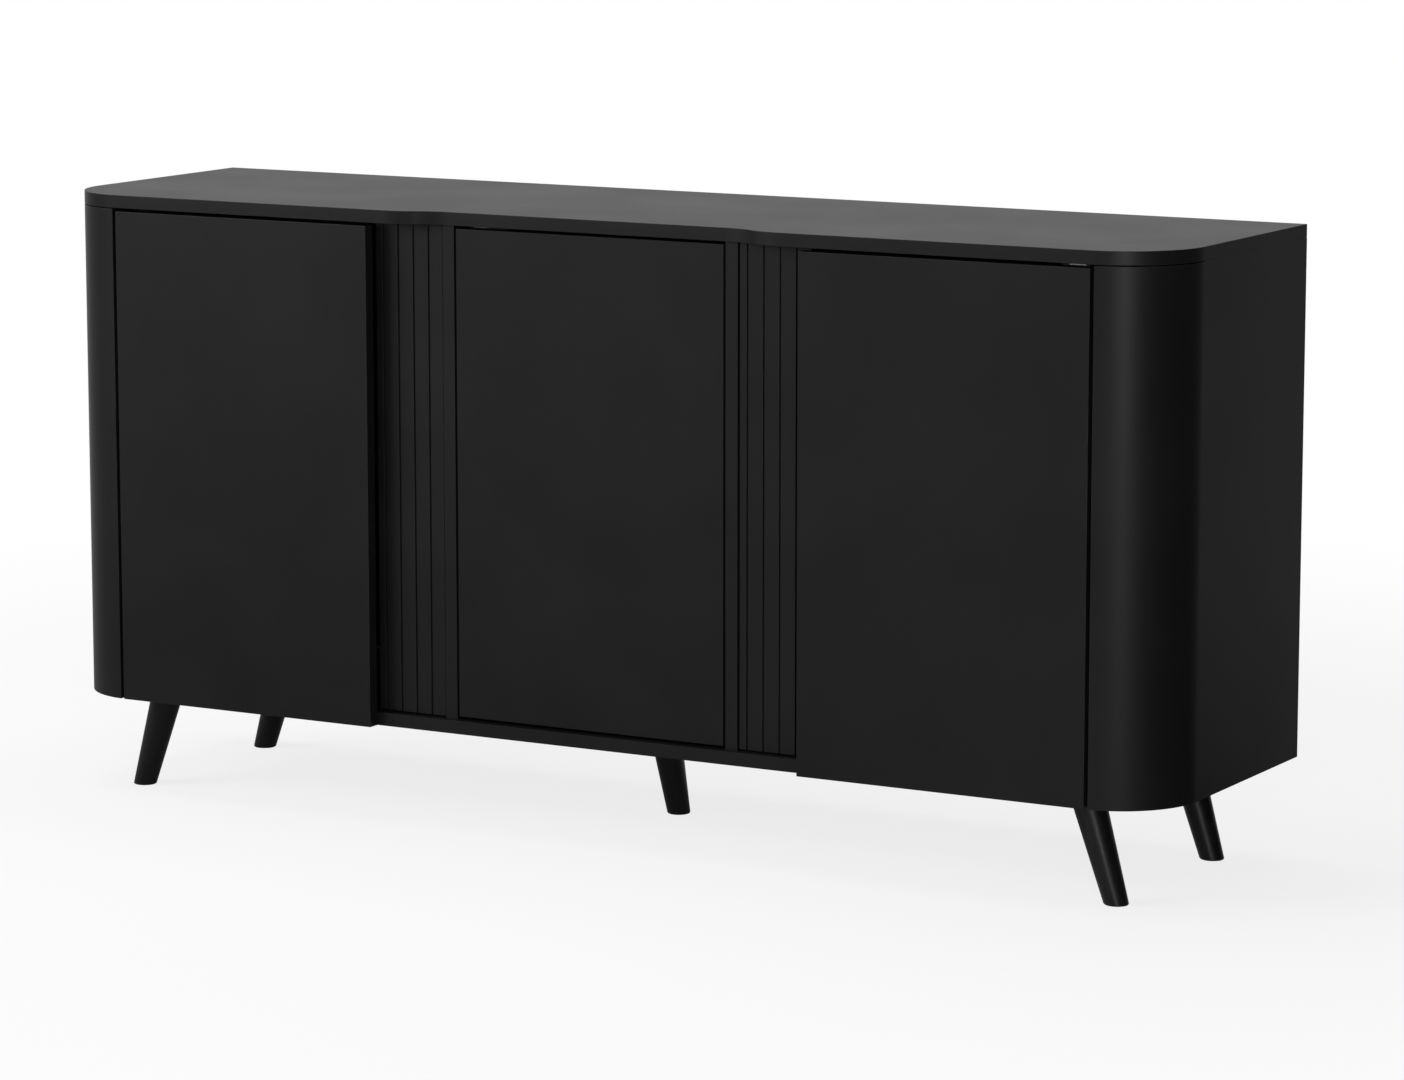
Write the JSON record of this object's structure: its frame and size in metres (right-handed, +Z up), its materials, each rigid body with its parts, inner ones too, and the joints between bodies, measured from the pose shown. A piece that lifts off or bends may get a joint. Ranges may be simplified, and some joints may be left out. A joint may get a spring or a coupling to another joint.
{
  "type": "sideboard buffet",
  "caption": "Low storage cabinet with hinged doors, fluted infill panels, rounded front corners, a recessed top edge and splayed round legs.",
  "frame": {"origin": "on the floor under the centre of the cabinet's outline", "axes": "+X to the right seen from the front, -Y out of the front, +Z up"},
  "size_m": [1.508, 0.39, 0.75],
  "materials": {
    "black_foil": "satin black foil on board, light from grazing angles",
    "carcass_foil": "matt black foil on board",
    "backboard": "thin fibreboard, black face",
    "leg_lacquer": "satin black lacquer on turned wood",
    "hinge_metal": "nickel-plated pressed steel",
    "leg_plate_steel": "zinc-plated steel",
    "catch_metal": "grey plated steel",
    "black_plastic": "matt moulded plastic"
  },
  "bodies": {
    "cabinet": {"back_panel": "backboard", "bottom_panel": "carcass_foil", "front_left_leg": "leg_lacquer", "front_left_leg_plate": "leg_plate_steel", "front_right_leg": "leg_lacquer", "front_right_leg_plate": "leg_plate_steel", "left_corner_post": "black_foil", "left_damper_housing": "catch_metal", "left_door_lower_hinge_arm": "hinge_metal", "left_door_upper_hinge_arm": "hinge_metal", "left_fluted_panel": "black_foil", "left_partition": "carcass_foil", "left_partition_front_shelf_pin": "hinge_metal", "left_partition_rear_shelf_pin": "hinge_metal", "left_shelf": "carcass_foil", "left_side_front_shelf_pin": "hinge_metal", "left_side_panel": "black_foil", "left_side_rear_shelf_pin": "hinge_metal", "middle_door_lower_hinge_arm": "hinge_metal", "middle_door_upper_hinge_arm": "hinge_metal", "middle_leg": "leg_lacquer", "middle_leg_plate": "leg_plate_steel", "middle_shelf": "carcass_foil", "push_catch_housing": "catch_metal", "rear_left_leg": "leg_lacquer", "rear_left_leg_plate": "leg_plate_steel", "rear_right_leg": "leg_lacquer", "rear_right_leg_plate": "leg_plate_steel", "right_corner_post": "black_foil", "right_damper_housing": "catch_metal", "right_door_lower_hinge_arm": "hinge_metal", "right_door_upper_hinge_arm": "hinge_metal", "right_fluted_panel": "black_foil", "right_partition": "carcass_foil", "right_partition_front_shelf_pin": "hinge_metal", "right_partition_rear_shelf_pin": "hinge_metal", "right_shelf": "carcass_foil", "right_side_front_shelf_pin": "hinge_metal", "right_side_panel": "black_foil", "right_side_rear_shelf_pin": "hinge_metal", "top_panel": "black_foil"},
    "right_door": {"right_door": "black_foil", "right_door_lower_hinge_cup": "hinge_metal", "right_door_upper_hinge_cup": "hinge_metal"},
    "right_door_links": {"right_door_lower_hinge_link": "hinge_metal", "right_door_upper_hinge_link": "hinge_metal"},
    "left_door": {"left_door": "black_foil", "left_door_lower_hinge_cup": "hinge_metal", "left_door_upper_hinge_cup": "hinge_metal"},
    "left_door_links": {"left_door_lower_hinge_link": "hinge_metal", "left_door_upper_hinge_link": "hinge_metal"},
    "middle_door": {"middle_door": "black_foil", "middle_door_lower_hinge_cup": "hinge_metal", "middle_door_upper_hinge_cup": "hinge_metal"},
    "middle_door_links": {"middle_door_lower_hinge_link": "hinge_metal", "middle_door_upper_hinge_link": "hinge_metal"},
    "right_damper_plunger": {"right_damper_plunger": "black_plastic"},
    "left_damper_plunger": {"left_damper_plunger": "black_plastic"},
    "push_catch_plunger": {"push_catch_plunger": "black_plastic"}
  },
  "joints": [
    {"name": "right_door_link_turn", "type": "hinge", "parent": "cabinet", "child": "right_door_links", "pos_m": [0.621, -0.1732, 0.425], "axis": [0, 0, -1], "range_deg": [0, 29.5]},
    {"name": "right_door_swing", "type": "hinge", "parent": "right_door_links", "child": "right_door", "pos_m": [0.6492, -0.1835, 0.425], "axis": [0, 0, 1], "range_deg": [0, 124.45]},
    {"name": "left_door_link_turn", "type": "hinge", "parent": "cabinet", "child": "left_door_links", "pos_m": [-0.621, -0.1732, 0.425], "axis": [0, 0, 1], "range_deg": [0, 29.5]},
    {"name": "left_door_swing", "type": "hinge", "parent": "left_door_links", "child": "left_door", "pos_m": [-0.6492, -0.1835, 0.425], "axis": [0, 0, -1], "range_deg": [0, 124.45]},
    {"name": "middle_door_link_turn", "type": "hinge", "parent": "cabinet", "child": "middle_door_links", "pos_m": [0.143, -0.1472, 0.425], "axis": [0, 0, -1], "range_deg": [0, 29.5]},
    {"name": "middle_door_swing", "type": "hinge", "parent": "middle_door_links", "child": "middle_door", "pos_m": [0.1712, -0.1575, 0.425], "axis": [0, 0, 1], "range_deg": [0, 124.45]},
    {"name": "right_damper_plunger_travel", "type": "slide", "parent": "cabinet", "child": "right_damper_plunger", "axis": [0, -1, 0], "range_m": [0, 0.0046]},
    {"name": "left_damper_plunger_travel", "type": "slide", "parent": "cabinet", "child": "left_damper_plunger", "axis": [0, -1, 0], "range_m": [0, 0.0046]},
    {"name": "push_catch_plunger_travel", "type": "slide", "parent": "cabinet", "child": "push_catch_plunger", "axis": [0, -1, 0], "range_m": [0, 0.0121]}
  ],
  "couplings": [
    {"joint": "right_door_link_turn", "follows": "right_door_swing", "ratio": 0.23664},
    {"joint": "left_door_link_turn", "follows": "left_door_swing", "ratio": 0.23664},
    {"joint": "middle_door_link_turn", "follows": "middle_door_swing", "ratio": 0.23664},
    {"joint": "right_damper_plunger_travel", "follows": "right_door_swing", "m_per_rad": 0.0020718},
    {"joint": "left_damper_plunger_travel", "follows": "left_door_swing", "m_per_rad": 0.0020718},
    {"joint": "push_catch_plunger_travel", "follows": "middle_door_swing", "m_per_rad": 0.0055247}
  ]
}
